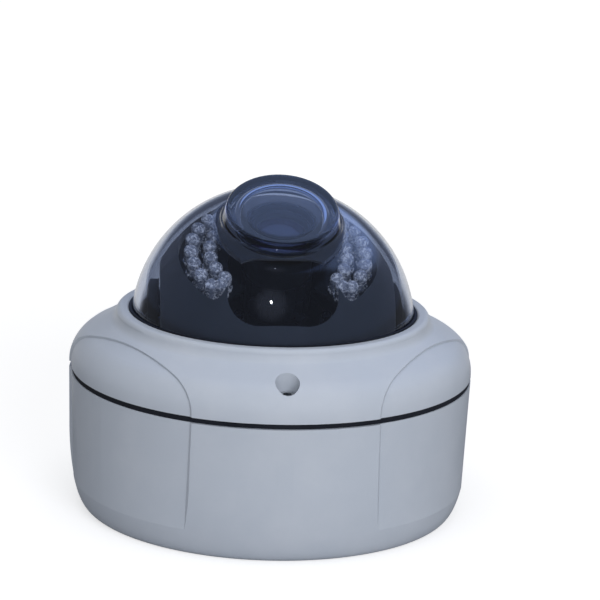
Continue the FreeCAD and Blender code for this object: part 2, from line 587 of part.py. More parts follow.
def clamp_ring_screws():
    foot = CLAMP_TOP - CLAMP_THICKNESS
    one = rod(CLAMP_SCREW_RADIUS + 0.55, foot - 1.3, foot).fuse(rod(CLAMP_SCREW_RADIUS, foot, CLAMP_TOP + CLAMP_SCREW_REACH))
    one = moved(one.removeSplitter(), Vector(CLAMP_SCREW_CIRCLE_RADIUS, 0, 0))
    return Part.makeCompound(at_angles(one, clamp_screw_angles()))


# ---- pan unit ----
def board_screw_angles():
    return [45 + index * 90 for index in range(4)]


def main_board():
    foot = CASTING_WALL + BOARD_STANDOFF
    board = tube(BOARD_RADIUS, INLET_RADIUS + 4, foot, foot + BOARD_THICKNESS)
    hole = rod(1.3, foot - 1, foot + BOARD_THICKNESS + 1, Vector(BOARD_SCREW_CIRCLE_RADIUS, 0, 0))
    return board.cut(at_angles(hole, board_screw_angles()))


def board_components():
    """Sockets, capacitors, a coil and two chips on the main board."""
    top = CASTING_WALL + BOARD_STANDOFF + BOARD_THICKNESS
    pieces = []
    for long, wide, tall, x, y in BOARD_BLOCKS:
        pieces.append(block(long, wide, top, top + tall, Vector(x, y, 0) * BOARD_RADIUS))
    pieces[-1] = round_edges(pieces[-1], 1.5, upright_edge)
    pieces += [rod(radius, top, top + tall, Vector(x, y, 0) * BOARD_RADIUS) for radius, tall, x, y in BOARD_CANS]
    return Part.makeCompound(pieces)


def upright_edge(edge):
    box = edge.BoundBox
    return box.ZLength > 0.1 and box.XLength < 0.001 and box.YLength < 0.001


def board_screws():
    foot = CASTING_WALL + BOARD_STANDOFF + BOARD_THICKNESS
    one = screw(2.3, 1.6, 1.0, BOARD_THICKNESS + BOARD_STANDOFF, 1.0)
    one = moved(one, Vector(BOARD_SCREW_CIRCLE_RADIUS, 0, foot))
    return Part.makeCompound(at_angles(one, board_screw_angles()))


def pan_base():
    """Fixed plate on three legs, with the hub that the turntable turns on."""
    plate = rod(TURNTABLE_RADIUS - 1, PAN_PLATE_HEIGHT, PAN_TOP)
    leg_place = Vector(PAN_LEG_CIRCLE_RADIUS, 0, 0)
    ear = rod(PAN_LEG_RADIUS, PAN_PLATE_HEIGHT, PAN_TOP, leg_place)
    ear = ear.fuse(block(10, 2 * PAN_LEG_RADIUS, PAN_PLATE_HEIGHT, PAN_TOP, leg_place - Vector(5, 0, 0)))
    leg = rod(PAN_LEG_RADIUS, CASTING_WALL, PAN_PLATE_HEIGHT + 1, leg_place)
    hub = rod(HUB_RADIUS, PAN_PLATE_HEIGHT, TURNTABLE_TOP + CLIP_THICKNESS)
    groove = tube(HUB_RADIUS + 1, HUB_RADIUS - 1, TURNTABLE_TOP, TURNTABLE_TOP + CLIP_THICKNESS)
    plate = plate.fuse(at_angles(ear, PANEL_ANGLES) + at_angles(leg, PANEL_ANGLES) + [hub])
    slot = at_angles(window_slot(20, 34, 22, PAN_PLATE_HEIGHT - 1, PAN_TOP + 1), BIB_ANGLES)
    bore = rod(HUB_BORE_RADIUS, PAN_PLATE_HEIGHT - 1, TURNTABLE_TOP + 5)
    screw_hole = rod(1.3, CASTING_WALL - 1, PAN_TOP + 1, leg_place)
    return plate.cut([groove, bore] + slot + at_angles(screw_hole, PANEL_ANGLES)).removeSplitter()


def window_slot(inner, outer, half_angle, bottom, top):
    """Sector of a ring about +X, with round corners."""
    angle = math.radians(half_angle)

    def place(radius, turn):
        return radius * math.cos(turn), radius * math.sin(turn)

    def plane(across, up):
        return Vector(across, up, bottom)

    face = flat_face(
        plane, place(inner, -angle), place(outer, -angle), (place(outer, 0), place(outer, angle)),
        place(inner, angle), (place(inner, 0), place(inner, -angle)))
    return face.extrude(Vector(0, 0, top - bottom))


def pan_base_screws():
    one = screw(2.6, 1.8, 1.1, PAN_TOP - 1.2, 1.2)
    one = moved(one, Vector(PAN_LEG_CIRCLE_RADIUS, 0, PAN_TOP))
    return Part.makeCompound(at_angles(one, PANEL_ANGLES))


def pan_clip():
    """Open spring clip that holds the turntable on its hub."""
    clip = tube(HUB_RADIUS + CLIP_WIDTH, HUB_RADIUS - 1 + RUNNING_GAP, TURNTABLE_TOP + RUNNING_GAP,
                TURNTABLE_TOP + CLIP_THICKNESS)
    return clip.cut(block(6, 6, TURNTABLE_TOP - 1, TURNTABLE_TOP + 2, Vector(0, HUB_RADIUS, 0)))


def pan_turntable():
    plate = tube(TURNTABLE_RADIUS, HUB_RADIUS + RUNNING_GAP, TURNTABLE_FOOT, TURNTABLE_TOP)
    slots = at_angles(window_slot(20, 38, 30, TURNTABLE_FOOT - 1, TURNTABLE_TOP + 1), (-90, 90))
    hole = rod(YOKE_SCREW_RADIUS + 0.1, TURNTABLE_FOOT - 1, TURNTABLE_TOP + 1)
    holes = [moved(hole, Vector(side * yoke_screw_offset(), across, 0)) for side in (-1, 1)
             for across in (-YOKE_SCREW_SPREAD, YOKE_SCREW_SPREAD)]
    return plate.cut(slots + holes)


def yoke_screw_offset():
    return ARM_INNER - ARM_FOOT_LENGTH / 2


def yoke_arm(side):
    """Upright arm with a foot on the turntable, a rounded head and a raised rim on its outer face."""
    def outline(inset):
        half, crown = ARM_HALF_WIDTH - inset, ARM_CROWN - inset
        drop = -math.sqrt(crown ** 2 - half ** 2)
        foot = TURNTABLE_TOP - PIVOT_HEIGHT + (inset * 1.5)

        def plane(across, up):
            return Vector(0, across, PIVOT_HEIGHT + up)
        return flat_face(plane, (half, drop), ((0, crown), (-half, drop)), (-half, foot), (half, foot))

    full = outline(0).extrude(Vector(ARM_OUTER - ARM_INNER, 0, 0))
    pocket = outline(ARM_RIM_WIDTH).extrude(Vector(ARM_RIM + 1, 0, 0))
    pocket = moved(pocket, Vector(ARM_THICKNESS, 0, 0))
    boss = Part.makeCylinder(PIVOT_HEAD_RADIUS + 1.6, ARM_RIM, Vector(ARM_THICKNESS, 0, PIVOT_HEIGHT), X_AXIS)
    rib = block(ARM_RIM, 2.0, TURNTABLE_TOP + 3, PIVOT_HEIGHT - 5, Vector(ARM_THICKNESS + ARM_RIM / 2, 0, 0))
    head_seat = Part.makeCylinder(PIVOT_HEAD_RADIUS + 0.4, 10, Vector(ARM_THICKNESS, 0, PIVOT_HEIGHT), X_AXIS)
    bore = Part.makeCylinder(PIVOT_RADIUS + RUNNING_GAP, 20, Vector(-1, 0, PIVOT_HEIGHT), X_AXIS)
    arm = full.cut(pocket).fuse([boss, rib]).cut([head_seat, bore])
    arm = moved(arm, Vector(ARM_INNER, 0, 0))
    foot = block(ARM_FOOT_LENGTH + 1, 2 * ARM_HALF_WIDTH - 2, TURNTABLE_TOP, TURNTABLE_TOP + ARM_FOOT_THICKNESS,
                 Vector(ARM_INNER - ARM_FOOT_LENGTH / 2 + 0.5, 0, 0))
    for across in (-YOKE_SCREW_SPREAD, YOKE_SCREW_SPREAD):
        place = Vector(yoke_screw_offset(), across, 0)
        foot = foot.cut(rod(YOKE_SCREW_RADIUS + 0.1, TURNTABLE_TOP - 1, TURNTABLE_TOP + 4, place))
    inside_dome = Part.makeSphere(EYEBALL_RADIUS + 0.3, Vector(0, 0, PIVOT_HEIGHT))
    inside_dome = inside_dome.fuse(rod(EYEBALL_RADIUS + 0.3, 0, PIVOT_HEIGHT))
    arm = arm.fuse(foot).common(inside_dome).removeSplitter()
    return arm if side > 0 else arm.mirror(ORIGIN, X_AXIS)


def yoke_screws():
    one = screw(YOKE_SCREW_HEAD_RADIUS, YOKE_SCREW_HEAD_HEIGHT, YOKE_SCREW_RADIUS,
                TURNTABLE_THICKNESS + ARM_FOOT_THICKNESS - FACE_GAP, 1.2)
    places = [Vector(side * yoke_screw_offset(), across, TURNTABLE_TOP + ARM_FOOT_THICKNESS)
              for side in (-1, 1) for across in (-YOKE_SCREW_SPREAD, YOKE_SCREW_SPREAD)]
    return Part.makeCompound([moved(one, place) for place in places])


# ---- eyeball, drawn along +Z about the pivot ----
def eyeball_shell(bottom, top):
    """Part of the hollow ball between two heights, with its flat cheeks and their inner walls."""
    def ball(radius, half_width, cheek_round):
        cheeks = block(2 * half_width, 4 * radius, -2 * radius, 2 * radius)
        round_ball = Part.makeSphere(radius, ORIGIN, X_AXIS).common(cheeks)
        return round_edges(round_ball, cheek_round, lambda edge: edge.BoundBox.XLength < 0.01 and edge.Closed)

    hollow = ball(EYEBALL_RADIUS - EYEBALL_WALL, EYEBALL_HALF_WIDTH - EYEBALL_WALL, CHEEK_ROUND - EYEBALL_WALL)
    return ball(EYEBALL_RADIUS, EYEBALL_HALF_WIDTH, CHEEK_ROUND).cut(hollow).common(rod(EYEBALL_RADIUS + 1, bottom, top))


def rounded_sector(inner, outer, half_angle, corner, bottom, top):
    """Kidney opening: a sector of a ring about +X with all four corners rounded."""
    return round_edges(window_slot(inner, outer, half_angle, bottom, top), corner, upright_edge)


def service_window():
    """Oval hole in the front of the ball that leaves the lens rings in reach."""
    middle = math.radians((SERVICE_UPPER_ANGLE + SERVICE_LOWER_ANGLE) / 2)
    half_height = EYEBALL_RADIUS * math.sin(math.radians(SERVICE_LOWER_ANGLE - SERVICE_UPPER_ANGLE) / 2)
    corner = half_height * 0.92
    plan = Part.makeBox(2 * SERVICE_HALF_WIDTH, 2 * half_height, 30,
                        Vector(-SERVICE_HALF_WIDTH, -half_height, 0))
    plan = round_edges(plan, corner, upright_edge)
    start = EYEBALL_RADIUS - EYEBALL_WALL - 12
    plan.Placement = FreeCAD.Placement(
        Vector(0, -start * math.sin(middle), start * math.cos(middle)),
        FreeCAD.Rotation(X_AXIS, math.degrees(middle)))
    return plan


def pivot_holes():
    return Part.makeCylinder(PIVOT_RADIUS - 0.3, 4 * EYEBALL_RADIUS, Vector(-2 * EYEBALL_RADIUS, 0, 0), X_AXIS)


def eyeball_front():
    shell = eyeball_shell(0, EYEBALL_RADIUS + 1)
    led_opening = rounded_sector(LED_OPENING_INNER, LED_OPENING_OUTER, LED_OPENING_SPREAD,
                                 LED_OPENING_CORNER, 10, EYEBALL_RADIUS + 1)
    lens_opening = rod(LENS_OPENING_RADIUS, 10, EYEBALL_RADIUS + 1)
    ball = shell.cut([lens_opening, service_window()] + at_angles(led_opening, (0, 180)))

    rim_height = math.sqrt(EYEBALL_RADIUS ** 2 - LENS_OPENING_RADIUS ** 2)
    ball = round_edges(ball, OPENING_ROUND, round_at(rim_height, LENS_OPENING_RADIUS))
    return ball.cut(pivot_holes()).removeSplitter()


def eyeball_rear():
    shell = eyeball_shell(-EYEBALL_REAR, 0)
    return shell.cut(pivot_holes()).removeSplitter()


def tilt_pivots():
    """Shoulder screws through the arms into the cheeks."""
    head_start = ARM_INNER + ARM_THICKNESS + FACE_GAP
    parts = [
        Part.makeCylinder(PIVOT_RADIUS - 0.35, EYEBALL_WALL, Vector(EYEBALL_HALF_WIDTH - EYEBALL_WALL, 0, 0), X_AXIS),
        Part.makeCylinder(PIVOT_RADIUS, head_start - EYEBALL_HALF_WIDTH, Vector(EYEBALL_HALF_WIDTH, 0, 0), X_AXIS),
        Part.makeCylinder(PIVOT_HEAD_RADIUS, PIVOT_HEAD_THICKNESS, Vector(head_start, 0, 0), X_AXIS),
    ]
    slot = Part.makeBox(2, 2 * PIVOT_HEAD_RADIUS + 2, 1.2, Vector(head_start + 0.9, -PIVOT_HEAD_RADIUS - 1, -0.6))
    one = parts[0].fuse(parts[1:]).cut(slot).removeSplitter()
    return Part.makeCompound([one, one.mirror(ORIGIN, X_AXIS)])


def led_post_places():
    return [on_circle(LED_BOARD_OUTER - LED_POST_INSET, angle) for angle in (58, 122, -118, -62)]


def module_frame():
    """Round plate in the ball that carries the camera's turning disc, with posts for the infrared board."""
    inner_width = EYEBALL_HALF_WIDTH - EYEBALL_WALL - RUNNING_GAP
    reach = math.sqrt((EYEBALL_RADIUS - EYEBALL_WALL) ** 2 - FRAME_THICKNESS ** 2) - RUNNING_GAP
    plate = tube(reach, CARRIER_RADIUS + RUNNING_GAP, RUNNING_GAP, FRAME_THICKNESS)
    plate = plate.common(block(2 * inner_width, 4 * reach, -5, 10))
    posts = [rod(2.2, FRAME_THICKNESS - 1, LED_BOARD_HEIGHT, place) for place in led_post_places()]
    holes = [rod(0.85, LED_BOARD_HEIGHT - 6, LED_BOARD_HEIGHT + 1, place) for place in led_post_places()]
    lip = tube(CARRIER_RADIUS + 3, CARRIER_RADIUS - 1.5, FRAME_THICKNESS, FRAME_THICKNESS + 1.2)
    return plate.fuse(posts + [lip]).cut(holes).removeSplitter()


def led_board():
    """Ring of circuit board behind the openings, open towards the front."""
    top = LED_BOARD_HEIGHT + LED_BOARD_THICKNESS
    board = tube(LED_BOARD_OUTER, LED_BOARD_INNER, LED_BOARD_HEIGHT, top)
    notch = window_slot(5, LED_BOARD_OUTER + 5, LED_BOARD_GAP_ANGLE, LED_BOARD_HEIGHT - 1, top + 1)
    notch.rotate(ORIGIN, Z_AXIS, -90)
    holes = [rod(1.0, LED_BOARD_HEIGHT - 1, top + 1, place) for place in led_post_places()[:2]]
    edge = [rod(1.0, LED_BOARD_HEIGHT - 1, top + 1, place) for place in led_post_places()[2:]]
    return board.cut([notch] + holes + edge)


def led_places():
    places = []
    for radius, (count, pitch) in zip((LED_INNER_ROW, LED_OUTER_ROW), LED_ROWS):
        step = math.degrees(pitch / radius)
        places += [on_circle(radius, (index - (count - 1) / 2) * step) for index in range(count)]
    places += [on_circle(LED_OUTER_ROW - LED_END_INSET, angle) for angle in (LED_END_ANGLE, -LED_END_ANGLE)]
    return places


def ir_leds():
    """Round emitters with a collar at the board and a domed tip."""
    board_top = LED_BOARD_HEIGHT + LED_BOARD_THICKNESS
    straight = LED_TOP - LED_RADIUS
    tip = arc_step((0, straight), LED_RADIUS, 0, 90)
    one = turned((0, board_top), (LED_COLLAR_RADIUS, board_top), (LED_COLLAR_RADIUS, board_top + LED_COLLAR_HEIGHT),
                 (LED_RADIUS, board_top + LED_COLLAR_HEIGHT), (LED_RADIUS, straight), tip)
    half = [moved(one, place) for place in led_places()]
    other = at_angles(Part.makeCompound(half), (180,))[0].Solids
    return Part.makeCompound(half + list(other))


def light_sensor():
    """Round light cell at the back of the infrared board."""
    board_top = LED_BOARD_HEIGHT + LED_BOARD_THICKNESS
    cell = rod(2.2, board_top, board_top + 2.2, Vector(0, LED_BOARD_INNER + LIGHT_CELL_REACH, 0))
    return round_edges(cell, 0.4, lambda edge: abs(edge.BoundBox.ZMin - board_top - 2.2) < 0.01)


def led_board_screws():
    one = screw(1.8, 1.2, 0.8, LED_BOARD_THICKNESS + LED_SCREW_GRIP, 0.8)
    top = LED_BOARD_HEIGHT + LED_BOARD_THICKNESS
    return Part.makeCompound([moved(one, place + Vector(0, 0, top)) for place in led_post_places()])


# ---- camera module, in the same frame ----
def sensor_board():
    foot = -SENSOR_BOARD_DEPTH
    side = SENSOR_BOARD_SIDE
    board = round_edges(block(side, side, foot, foot + BOARD_THICKNESS), 2.0, upright_edge)
    below = []
    for long, wide, tall, x, y in (SENSOR_CHIP, SENSOR_SOCKET):
        below.append(block(long, wide, foot - tall, foot, Vector(x, y, 0)))
    return board.fuse(below).removeSplitter()


def lens_mount():
    """Turning disc, the square holder in its middle and the legs down to the sensor board."""
    board_top = -SENSOR_BOARD_DEPTH + BOARD_THICKNESS
    disc = rod(CARRIER_RADIUS, RUNNING_GAP, FRAME_THICKNESS - RUNNING_GAP)
    holder = round_edges(block(HOLDER_SIDE, HOLDER_SIDE, board_top, HOLDER_HEIGHT), 1.5, upright_edge)
    collar = rod(HOLDER_SIDE / 2 - 0.4, HOLDER_HEIGHT, HOLDER_HEIGHT + 2)
    bore = rod(BARREL_REAR_RADIUS, 0, HOLDER_HEIGHT + 3)
    return disc.fuse([holder, collar]).cut(bore).removeSplitter()


def lens_barrel():
    """Body of the zoom lens: a rear thread, the core that the rings ride on and the wide front."""
    core = BARREL_REAR_RADIUS + 1.2
    front_foot = ZOOM_RING_HEIGHT + RING_LENGTH + FACE_GAP
    rear_shelf = FOCUS_RING_HEIGHT - FACE_GAP
    return turned(
        (0, 1), (BARREL_REAR_RADIUS, 1), (BARREL_REAR_RADIUS, HOLDER_HEIGHT + 2),
        (RING_RADIUS - 0.6, HOLDER_HEIGHT + 2), (RING_RADIUS - 0.6, rear_shelf), (core, rear_shelf),
        (core, front_foot), (BARREL_FRONT_RADIUS, front_foot), (BARREL_FRONT_RADIUS, BARREL_END - 0.6),
        (BARREL_FRONT_RADIUS - 0.6, BARREL_END), (GLASS_RADIUS + 0.9, BARREL_END),
        (GLASS_RADIUS, BARREL_END - 1.6), (GLASS_RADIUS, BARREL_END - 5), (0, BARREL_END - 5),
    )


def lens_glass():
    """Front element with its curved face."""
    foot = BARREL_END - 5
    edge = foot + 2.2
    crown = 1.9
    radius = GLASS_RADIUS - RUNNING_GAP
    sphere = (radius ** 2 + crown ** 2) / (2 * crown)
    reach = math.degrees(math.asin(radius / sphere))
    face = arc_step((0, edge + crown - sphere), sphere, 90 - reach, 90)
    return turned((0, foot), (radius, foot), (radius, edge), face)


def lens_ring(foot, lever_angle):
    """Ribbed ring on the lens with a locking lever."""
    inner = BARREL_REAR_RADIUS + 1.2 + RUNNING_GAP
    ring = tube(RING_RADIUS, inner, foot, foot + RING_LENGTH)
    groove = rod(0.45, foot - 1, foot + RING_LENGTH + 1, Vector(RING_RADIUS + 0.1, 0, 0))
    grooves = at_angles(groove, [index * 20 for index in range(18)])
    level = foot + RING_LENGTH / 2
    lever = Part.makeCylinder(1.2, LEVER_REACH - inner - 1, Vector(inner + 1, 0, level), X_AXIS)
    knob = Part.makeCylinder(2.1, 2.6, Vector(LEVER_REACH - 2.6, 0, level), X_AXIS)
    lever = at_angles(lever.fuse(knob), (lever_angle,))[0]
    return ring.cut(grooves).fuse(lever).removeSplitter()


def lens_shroud():
    """Soft ring on the end of the barrel that keeps infrared light off the lens."""
    foot = BARREL_END - 4
    top = math.sqrt((EYEBALL_RADIUS + 0.3) ** 2 - LENS_OPENING_RADIUS ** 2)
    return turned(
        (BARREL_FRONT_RADIUS + RUNNING_GAP, foot), (LENS_OPENING_RADIUS - 0.4, foot),
        (LENS_OPENING_RADIUS - 0.4, top - 0.5), (LENS_OPENING_RADIUS - 0.9, top),
        (BARREL_FRONT_RADIUS + RUNNING_GAP, top),
    )


PARTS = {
    "base_housing": base_housing,
    "housing_gasket": housing_gasket,
    "cover": cover,
    "cover_screws": cover_screws,
    "cable_grommet": cable_grommet,
    "dome_cover": dome_cover,
    "dome_seal": dome_seal,
    "dome_clamp_ring": dome_clamp_ring,
    "clamp_ring_screws": clamp_ring_screws,
    "main_board": main_board,
    "board_components": board_components,
    "board_screws": board_screws,
    "pan_base": pan_base,
    "pan_base_screws": pan_base_screws,
    "pan_clip": pan_clip,
    "pan_turntable": pan_turntable,
    "yoke_arm_right": lambda: yoke_arm(1),
    "yoke_arm_left": lambda: yoke_arm(-1),
    "yoke_screws": yoke_screws,
    "eyeball_front": lambda: tilted(eyeball_front()),
    "eyeball_rear": lambda: tilted(eyeball_rear()),
    "tilt_pivots": lambda: tilted(tilt_pivots()),
    "module_frame": lambda: tilted(module_frame()),
    "led_board": lambda: tilted(led_board()),
    "ir_leds": lambda: tilted(ir_leds()),
    "light_sensor": lambda: tilted(light_sensor()),
    "led_board_screws": lambda: tilted(led_board_screws()),
    "sensor_board": lambda: tilted(sensor_board()),
    "lens_mount": lambda: tilted(lens_mount()),
    "lens_barrel": lambda: tilted(lens_barrel()),
    "lens_glass": lambda: tilted(lens_glass()),
    "focus_ring": lambda: tilted(lens_ring(FOCUS_RING_HEIGHT, -60)),
    "zoom_ring": lambda: tilted(lens_ring(ZOOM_RING_HEIGHT, -120)),
    "lens_shroud": lambda: tilted(lens_shroud()),
}

os.makedirs("parts", exist_ok=True)
for name, make in PARTS.items():
    shape = make()
    shape.exportStep(f"parts/{name}.step")
    print(name, len(shape.Solids), shape.isValid(), round(shape.Volume, 1))
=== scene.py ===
import bpy
import math
from mathutils import Matrix, Quaternion, Vector


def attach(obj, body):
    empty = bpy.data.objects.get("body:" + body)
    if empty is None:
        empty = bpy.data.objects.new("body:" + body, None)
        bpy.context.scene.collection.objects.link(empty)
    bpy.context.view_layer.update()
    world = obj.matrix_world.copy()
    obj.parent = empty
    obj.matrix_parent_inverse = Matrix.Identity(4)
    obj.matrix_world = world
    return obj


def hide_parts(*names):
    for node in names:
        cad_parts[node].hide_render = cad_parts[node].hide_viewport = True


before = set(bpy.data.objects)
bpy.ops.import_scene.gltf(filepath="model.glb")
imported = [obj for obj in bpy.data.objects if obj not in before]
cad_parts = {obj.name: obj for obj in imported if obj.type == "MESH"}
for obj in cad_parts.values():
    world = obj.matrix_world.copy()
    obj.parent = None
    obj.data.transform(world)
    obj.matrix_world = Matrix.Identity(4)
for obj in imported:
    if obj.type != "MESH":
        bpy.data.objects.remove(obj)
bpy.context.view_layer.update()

# Sizes are in millimetres and heights count from the mounting face, unless a comment says otherwise.
MM = 0.001


# ---- node tools ----
def linear(code):
    """An sRGB hex colour as the linear values that nodes take."""
    parts = [int(code[place:place + 2], 16) / 255 for place in (1, 3, 5)]
    return [p / 12.92 if p <= 0.04045 else ((p + 0.055) / 1.055) ** 2.4 for p in parts] + [1.0]


def add(tree, kind, inputs=None, **settings):
    """Adds a node with its settings; inputs are values, or sockets to link from."""
    made = tree.nodes.new(kind)
    for name, value in settings.items():
        setattr(made, name, value)
    for key, value in (inputs or {}).items():
        if isinstance(value, bpy.types.NodeSocket):
            tree.links.new(value, made.inputs[key])
        else:
            made.inputs[key].default_value = value
    return made


def new_material(name):
    """A material with an empty node tree."""
    material = bpy.data.materials.new(name)
    material.use_nodes = True
    material.node_tree.nodes.clear()
    return material


def per_mm(size):
    """Scale of a pattern on Object coordinates whose features are this many millimetres apart."""
    return 1 / (size * MM)


CLOUD_SIZE = 22.0              # how far apart the clouds of gloss are


def grained(name, colour, worn, grain, bump, rough, **shader):
    """A finish with a fine grain, a cloudy change of gloss and a few lighter rubbed places.

    grain is the size of the grain in mm, bump its depth in mm, and rough the lowest and highest roughness.
    """
    material = new_material(name)
    tree = material.node_tree
    place = add(tree, "ShaderNodeTexCoord").outputs["Object"]
    fine = add(tree, "ShaderNodeTexNoise", {"Vector": place, "Scale": per_mm(grain), "Detail": 3.0})
    cloud = add(tree, "ShaderNodeTexNoise", {
        "Vector": place, "Scale": per_mm(CLOUD_SIZE), "Detail": 5.0, "Roughness": 0.6})
    rubbed = add(tree, "ShaderNodeMapRange", {0: cloud.outputs["Fac"], 1: 0.42, 2: 0.72})
    paint = add(tree, "ShaderNodeMix", {
        0: rubbed.outputs[0], 6: linear(colour), 7: linear(worn)}, data_type="RGBA")
    gloss = add(tree, "ShaderNodeMapRange", {
        0: cloud.outputs["Fac"], 1: 0.3, 2: 0.7, 3: rough[0], 4: rough[1]})
    relief = add(tree, "ShaderNodeBump", {
        "Strength": 0.6, "Distance": bump * MM, "Height": fine.outputs["Fac"]})
    surface = add(tree, "ShaderNodeBsdfPrincipled", {
        "Base Color": paint.outputs[2], "Roughness": gloss.outputs[0],
        "Normal": relief.outputs[0], **shader})
    add(tree, "ShaderNodeOutputMaterial", {"Surface": surface.outputs[0]})
    return material


def lit_through(tree, solid, colour):
    """A clear wall that only tints the light which falls through it, and is the solid shader to the eye."""
    tint = add(tree, "ShaderNodeBsdfTransparent", {"Color": linear(colour)})
    path = add(tree, "ShaderNodeLightPath")
    return add(tree, "ShaderNodeMixShader", {
        0: path.outputs["Is Shadow Ray"], 1: solid.outputs[0], 2: tint.outputs[0]})


# ---- finishes ----
def powder_coat():
    """White polyester powder coat on a die casting: satin, with the shallow orange peel of baked powder.

    The white is written as the pale blue grey that it shows in soft light. Its ripples are about 1.2 mm
    apart and drawn at 1.8 mm, as coarse as they need to show.
    """
    return grained("white_powder_coat", "#b9c1cd", "#bfc6d1", 1.8, 0.035, (0.36, 0.5), IOR=1.5)


def silicone_rubber():
    """Pressed black silicone rubber: dull, with a trace of talc that greys it in clouds."""
    return grained("black_silicone_rubber", "#1b1e27", "#24272f", 0.8, 0.03, (0.62, 0.85), IOR=1.42)


def ball_plastic():
    """Spark-eroded black ABS of the ball: an even fine texture with a soft sheen and no mirror.

    It is written lighter than black as painted light: the lighter grey stands in for light that does not
    reach it under the smoked dome that it is always seen through.
    """
    haze = {"Sheen Weight": 0.3, "Sheen Roughness": 0.45}
    return grained("textured_black_abs", "#4a5058", "#50565f", 0.5, 0.008, (0.46, 0.6), IOR=1.52, **haze)


def frame_plastic():
    """Glass-filled black nylon of the arms, plates and clamp ring: duller than the ball, faintly streaky."""
    return grained("black_nylon", "#0f1114", "#1a1d22", 0.7, 0.03, (0.5, 0.72), IOR=1.52)


def smoked_polycarbonate():
    """Injection-moulded polycarbonate, clear with a faint smoke that the wall shows twice at the sides.

    Lamps reach the inside through it: a shadow ray is only tinted, as by a thin clear wall.
    """
    material = new_material("smoked_polycarbonate")
    tree = material.node_tree
    glass = add(tree, "ShaderNodeBsdfPrincipled", {
        "Base Color": linear("#d4dae6"), "Roughness": 0.0, "IOR": 1.58, "Transmission Weight": 1.0})
    both = lit_through(tree, glass, "#f4f5f8")
    smoke = add(tree, "ShaderNodeVolumeAbsorption", {"Color": linear("#9daec9"), "Density": 100.0})
    add(tree, "ShaderNodeOutputMaterial", {"Surface": both.outputs[0], "Volume": smoke.outputs[0]})
    return material


def led_epoxy():
    """Water-clear epoxy of a 5 mm emitter, mixed with a pale part that stands for the bright cup seen
    through its round end.

    The sparkle of the cup's facets, which are finer than a millimetre, is painted into that part's colour as
    white glints, a pattern 1.3 mm wide, mixed into the clear.
    """
    material = new_material("clear_led_epoxy")
    tree = material.node_tree
    place = add(tree, "ShaderNodeTexCoord").outputs["Object"]
    # Painted glints: white flecks in the cup's grey stand in for the sparkle of light off its facets.
    painted_glint_noise = add(tree, "ShaderNodeTexNoise", {
        "Vector": place, "Scale": per_mm(1.3), "Detail": 3.0, "Roughness": 0.75})
    painted_glint_mask = add(tree, "ShaderNodeMapRange", {0: painted_glint_noise.outputs["Fac"], 1: 0.5, 2: 0.58})
    cup_grey_and_painted_glints = add(tree, "ShaderNodeMix", {
        0: painted_glint_mask.outputs[0], 6: linear("#6a717d"), 7: linear("#ffffff")}, data_type="RGBA")
    glass = add(tree, "ShaderNodeBsdfPrincipled", {
        "Base Color": linear("#eef2fa"), "Roughness": 0.0, "IOR": 1.54, "Transmission Weight": 1.0})
    cup = add(tree, "ShaderNodeBsdfPrincipled", {
        "Base Color": cup_grey_and_painted_glints.outputs[2], "Roughness": 0.12, "IOR": 1.54})
    body = add(tree, "ShaderNodeMixShader", {0: 0.65, 1: glass.outputs[0], 2: cup.outputs[0]})
    both = lit_through(tree, body, "#f4f6fb")
    add(tree, "ShaderNodeOutputMaterial", {"Surface": both.outputs[0]})
    return material


def lens_glass():
    """Multi-coated front element: dark, with a violet bloom where its face turns away."""
    material = new_material("coated_optical_glass")
    tree = material.node_tree
    facing = add(tree, "ShaderNodeLayerWeight", {"Blend": 0.35})
    bloom = add(tree, "ShaderNodeMix", {
        0: facing.outputs["Facing"], 6: linear("#0a0c18"), 7: linear("#2b2147")}, data_type="RGBA")
    surface = add(tree, "ShaderNodeBsdfPrincipled", {
        "Base Color": bloom.outputs[2], "Roughness": 0.03, "IOR": 1.62,
        "Coat Weight": 1.0, "Coat Roughness": 0.01})
    add(tree, "ShaderNodeOutputMaterial", {"Surface": surface.outputs[0]})
    return material


def circuit_board():
    """Solder mask over glass cloth: a green-black lacquer with faint traces and the relief of the weave.

    The threads are about half a millimetre apart and drawn at 0.9 mm, as coarse as they need to show.
    """
    material = new_material("black_solder_mask")
    tree = material.node_tree
    place = add(tree, "ShaderNodeTexCoord").outputs["Object"]
    traces = add(tree, "ShaderNodeTexBrick", {
        "Vector": place, "Color1": linear("#0a0e0f"), "Color2": linear("#080b0c"),
        "Mortar": linear("#101717"), "Scale": per_mm(6.0), "Mortar Size": 0.04})
    weave = add(tree, "ShaderNodeTexNoise", {"Vector": place, "Scale": per_mm(0.9), "Detail": 2.0})
    relief = add(tree, "ShaderNodeBump", {
        "Strength": 0.5, "Distance": 0.02 * MM, "Height": weave.outputs["Fac"]})
    surface = add(tree, "ShaderNodeBsdfPrincipled", {
        "Base Color": traces.outputs["Color"], "Roughness": 0.55,
        "Normal": relief.outputs[0], "IOR": 1.5})
    add(tree, "ShaderNodeOutputMaterial", {"Surface": surface.outputs[0]})
    return material


WHITE = powder_coat()
RUBBER = silicone_rubber()
BALL = ball_plastic()
NYLON = frame_plastic()
DOME = smoked_polycarbonate()
EPOXY = led_epoxy()
LENS = lens_glass()
BOARD = circuit_board()
# Turned stainless steel: bright, with soft broken highlights.
STEEL = grained("stainless_steel", "#a9abac", "#bdbfc0", 0.6, 0.01, (0.24, 0.4), Metallic=1.0)
# Silver-plated copper: a pale satin, written with little metal so that light in the epoxy spreads in it.
CUP = grained("silver_plated_copper", "#d9dbe0", "#f0f1f3", 0.3, 0.02, (0.2, 0.35), Metallic=0.2)
# Moulded epoxy of the chips: dull and dark, with a few lighter rubbed places.
CHIPS = grained("moulded_component_epoxy", "#1b1d20", "#2c2f33", 0.6, 0.02, (0.45, 0.65), IOR=1.55)
